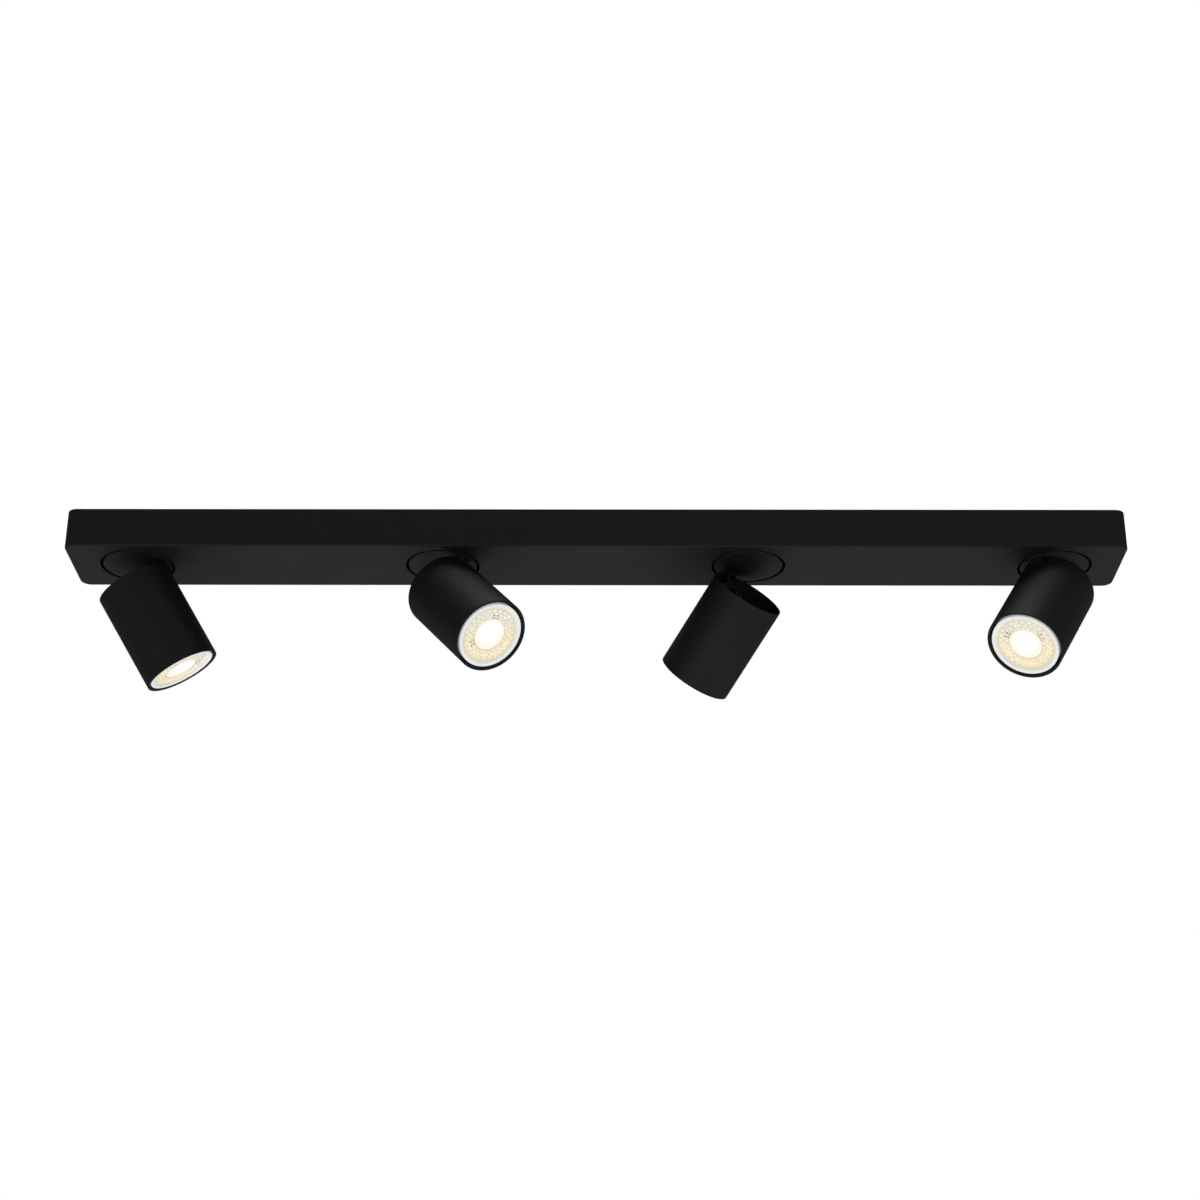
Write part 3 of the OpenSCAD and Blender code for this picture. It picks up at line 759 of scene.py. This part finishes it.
# The world direction of the painted sheen: each lens is painted paler and more silver on this side, with its
# white core painted off centre towards it.
SHEEN_SIDE = Vector((0.0, -0.4, 0.9))
CORE_SHIFT = 1.6 * MM
BEAD = 1.55 * MM
BEAD_START, BEAD_END = 0.20, 0.535
LENSLET_START, LENSLET_END = 0.57, 0.91
LENSLET_ROWS = 3
LENSLET_COUNT = 26
# Angles of the painted dark glints on the lens.
DARK_GLINT_ANGLES = (0, 123)
BUBBLE_ANGLE, BUBBLE_SHARE, BUBBLE_R = 24, 0.68, 1.7 * MM


def bulge(t):
    """A smooth bump from 0 to 1 and back over one unit."""
    return math.sin(math.pi * (t % 1.0))


def scatter(*keys):
    """A fixed number from 0 to 1 that looks random, for a cell of the lens."""
    value = math.sin(sum(k * w for k, w in zip(keys, (12.99, 78.23, 37.72)))) * 4375.85
    return value - math.floor(value)


def lens_relief(share, angle, sheen_side):
    """Height of the lens's front and how bright it is there, at a share of its radius and an angle. The
    brightness is painted darker in the seams between lenslets, a painted shade, and painted higher on the
    sheen side.
    """
    if share < BEAD_START:
        return 0.25 * math.cos(share / BEAD_START * math.pi / 2), 1.0
    if share < BEAD_END:
        rows = round((BEAD_END - BEAD_START) * LENS_R / BEAD)
        row = min(int((share - BEAD_START) / (BEAD_END - BEAD_START) * rows), rows - 1)
        radius = (BEAD_START + (row + 0.5) / rows * (BEAD_END - BEAD_START)) * LENS_R
        count = round(TAU * radius / BEAD)
        across = bulge((share - BEAD_START) / (BEAD_END - BEAD_START) * rows)
        along = bulge(angle / TAU * count + 0.5 * (row % 2))
        dot = math.sqrt(max(across * along, 0))
        return 0.32 * dot, 0.62 - 0.05 * (1 - sheen_side) + 0.44 * dot
    if LENSLET_START < share < LENSLET_END:
        position = (share - LENSLET_START) / (LENSLET_END - LENSLET_START) * LENSLET_ROWS
        row = min(int(position), LENSLET_ROWS - 1)
        place = angle / TAU * LENSLET_COUNT + 0.5 * (row % 2)
        cell = math.floor(place) % LENSLET_COUNT
        lean = 0.22 * (scatter(cell, row, 1) - 0.5)
        across, along = bulge(position), bulge(min(max(place % 1.0 + lean, 0), 0.999))
        dot = math.sqrt(max(across * along, 0))
        spot = dot ** (2 + 3 * scatter(cell, row, 2)) * (0.35 + 0.9 * scatter(cell, row, 3))
        # painted shade: the seams between lenslets are darkened, less so on the sheen side, where the spots
        # are painted brighter too
        seam = (1 - dot) ** 3
        return 0.5 * dot, 0.94 + (0.14 + 0.40 * sheen_side) * spot - (0.30 - 0.14 * sheen_side) * seam
    return 0.0, 0.96


def polar_gap(share, angle, other_share, other_angle):
    """Sideways and outward distance between two points of the lens."""
    away = (angle - math.radians(other_angle) + math.pi) % TAU - math.pi
    return away * share * LENS_R, (share - other_share) * LENS_R


def painted_dark_glints(share, angle):
    """How much the lens is darkened by painted dark glints: a few short marks beside each listed angle, and a
    darker ring with a brighter middle at the bubble.
    """
    for glint_at in DARK_GLINT_ANGLES:
        for offset, at in ((-7.0, 0.71), (6.0, 0.70), (-5.5, 0.61), (8.0, 0.60)):
            aside, out = polar_gap(share, angle, at, glint_at + offset)
            mark = math.hypot(aside / (1.15 * MM), out / (0.85 * MM))
            if mark < 1:
                return 0.92 * (1 - mark ** 3)
    aside, out = polar_gap(share, angle, BUBBLE_SHARE, BUBBLE_ANGLE)
    reach = math.hypot(aside, out) / BUBBLE_R
    if reach < 1.15:
        return 0.45 * max(0.0, 1 - abs(reach - 1) / 0.25) - 0.35 * max(0.0, 1 - reach)
    return 0.0


def make_lens_mesh(sheen_angle):
    """The lens: a disc with rings of beads and rows of lenslets, moulded into its front.
    Its white core is painted off centre towards the side at the given angle, and that side is painted paler
    and more silver: a painted sheen."""
    shape = Shape()
    steps = 384
    shares = [0.0] + [k / 96 * 0.995 for k in range(1, 97)]
    rings, facets = [], []
    core = CORE_SHIFT * Vector((math.cos(sheen_angle), math.sin(sheen_angle)))
    for share in shares:
        ring = []
        for i in range(steps if share else 1):
            angle = TAU * i / steps
            sheen_side = share * (0.5 + 0.5 * math.cos(angle - sheen_angle)) ** 1.3
            height, bright = lens_relief(share, angle, sheen_side)
            dome = -0.3 * MM * (1 - (share / 0.4) ** 2) if share < 0.4 else 0.0
            z = LENS_FRONT + 0.45 * MM + dome * 0.5 - height * MM
            x, y = share * LENS_R * math.cos(angle), share * LENS_R * math.sin(angle)
            ring.append(shape.bm.verts.new((x, y, z)))
            # The brightness carries the lamp's pattern with its painted shade and sheen, less the painted
            # dark glints.
            facets.append(bright * (1 - painted_dark_glints(share, angle)))
        rings.append(ring)
    shape.loft(rings)
    side = [shape.ring(circle(LENS_R, steps, z)) for z in (LENS_FRONT + 0.7 * MM, LENS_BACK)]
    shape.loft([rings[-1], *side])
    shape.cap(side[-1])
    facets += [0.9] * (2 * steps)
    shape.mark("facet", facets)
    points = [v.co.xy for v in shape.bm.verts]
    shape.mark("radial", [p.length / LENS_R for p in points])
    shape.mark("core", [(p - core).length / LENS_R for p in points])
    shape.mark("sheen_side", [0.5 + 0.5 * p.dot(core) / CORE_SHIFT / LENS_R for p in points])
    return shape


def make_lamp(head):
    """The reflector lamp: its white shell with the front bezel and two pins, and its lens."""
    n = head.number
    neck, collar = 13.5 * MM, LAMP_FRONT + 7 * MM
    bezel = LENS_R + 0.03 * MM
    seat = LENS_BACK + 0.05 * MM
    shape = Shape()
    shell = soft_profile([
        (0, LAMP_TOP, 0), (neck, LAMP_TOP, 1.2 * MM), (neck, LAMP_TOP - 16 * MM, 3 * MM),
        (LAMP_R, collar, 3 * MM), (LAMP_R, LAMP_FRONT, 0.7 * MM), (bezel + 0.5 * MM, LAMP_FRONT, 0.4 * MM),
        (bezel, LENS_FRONT, 0.4 * MM), (bezel, seat, 0),
        (bezel - 1.5 * MM, seat, 0), (bezel - 1.5 * MM, collar, 0),
        (neck - 1.6 * MM, LAMP_TOP - 16 * MM, 0), (neck - 1.6 * MM, LAMP_TOP - 1.6 * MM, 0),
        (0, LAMP_TOP - 1.6 * MM, 0)], steps=6)
    shape.revolve(shell, 128)
    for sy in (-1, 1):
        pin = soft_profile([
            (0, LAMP_TOP, 0), (1.4 * MM, LAMP_TOP, 0), (1.4 * MM, LAMP_TOP + 5 * MM, 0.3 * MM),
            (2.4 * MM, LAMP_TOP + 5 * MM, 0.3 * MM), (2.4 * MM, LAMP_TOP + 7 * MM, 0.6 * MM),
            (0, LAMP_TOP + 7 * MM, 0)])
        shape.revolve(pin, 32, at=(0, sy * 5 * MM))
    # Marks the shell's front, where a glow is painted.
    shape.mark("front", [1 - min(max((v.co.z - LAMP_FRONT) / (3 * MM), 0), 1) for v in shape.bm.verts])
    piece(shape, f"lamp_shell_{n}", head.head_body, "lamp_white_plastic", [f"lamp_body_{n}"], head.tube)
    turned = head.tube @ Matrix.Rotation(math.radians(LENS_TURN[n]), 4, "Z")
    # The side of the painted sheen, turned into the lens's own frame.
    glow = turned.to_3x3().inverted() @ SHEEN_SIDE
    lens = make_lens_mesh(math.atan2(glow.y, glow.x))
    piece(lens, f"lens_{n}", head.head_body, "lamp_lens", [f"lamp_lens_{n}"], turned, sharp=80)


# ---------------------------------------------------------------- finishes and small CAD parts

FINISHES = {
    "black_powder_coat": powder_coat(),
    "black_steel": black_steel(),
    "zinc_plated_steel": zinc_steel(),
    "spring_steel": plated_metal("spring_steel", (0.30, 0.29, 0.28), (0.46, 0.45, 0.44), 0.25, 0.42),
    "brass": plated_metal("brass", (0.46, 0.33, 0.12), (0.68, 0.52, 0.22), 0.22, 0.40),
    "black_screw": plated_metal("black_screw", (0.020, 0.020, 0.022), (0.045, 0.045, 0.048), 0.34, 0.52),
    "white_nylon": plastic("white_nylon", (0.62, 0.62, 0.57), (0.72, 0.72, 0.67), 0.45, scatter=0.2),
    "black_rubber": plastic("black_rubber", (0.008, 0.008, 0.008), (0.018, 0.018, 0.018), 0.72,
                            specular=0.3, grain=700.0, depth=0.05),
    "terminal_plastic": plastic("terminal_plastic", (0.66, 0.63, 0.54), (0.76, 0.73, 0.65), 0.42,
                                scatter=0.15),
    "wire_sleeve": braided_sleeve(),
    "white_ceramic": ceramic(),
    "lamp_white_plastic": lamp_shell(),
    "lamp_lens": lit_lens(),
    "silicone_lead": plastic("silicone_lead", (0.010, 0.010, 0.011), (0.022, 0.022, 0.023), 0.5),
}

KEPT = {
    "ceiling_bracket": "zinc_plated_steel", "end_angles": "zinc_plated_steel", "bridge_plates": "black_steel",
    "friction_washers": "white_nylon", "cable_grommet": "black_rubber", "terminal_block": "terminal_plastic",
    "terminal_screws": "brass", "earth_screw": "brass", "earth_washer": "brass",
    "wiring_harness": "wire_sleeve",
}
KEPT_SWIVEL = {"hollow_stem": "zinc_plated_steel", "stop_washer": "spring_steel", "locknut": "brass"}
KEPT_HEAD = {
    "lamp_carrier": "black_steel", "pivot_rivet": "black_screw", "lampholder": "white_ceramic",
    "holder_screws": "black_screw", "lamp_leads": "silicone_lead",
}

make_camera()
make_world()
make_floor()
make_light("key_behind_below", (0.0, 1.5, -1.0), (2.6, 1.0), 1.7)
make_light("fill_front_below", (-0.9, -1.6, -1.3), (1.2, 1.2), 4.0)
make_light("fill_front_right", (1.1, -1.6, 0.0), (1.2, 0.9), 2.5, colour=(1.0, 0.97, 0.96))
make_light("top", (0.0, 0.1, 2.4), (2.4, 2.4), 26)
make_light("floor_wash", (0.0, 0.0, -1.3), (7.0, 7.0), 75, aim=(0, 0.001, FLOOR_Z))

make_bar_shell()
make_end_screws()
for node, slot in KEPT.items():
    dress(node, slot)
for head in HEADS:
    make_disc(head)
    make_tube(head)
    make_lamp(head)
    for part, slot in {**KEPT_SWIVEL, **KEPT_HEAD}.items():
        dress(f"{part}_{head.number}", slot)

scene = bpy.context.scene
scene.view_settings.view_transform = "Standard"
scene.view_settings.look = "None"
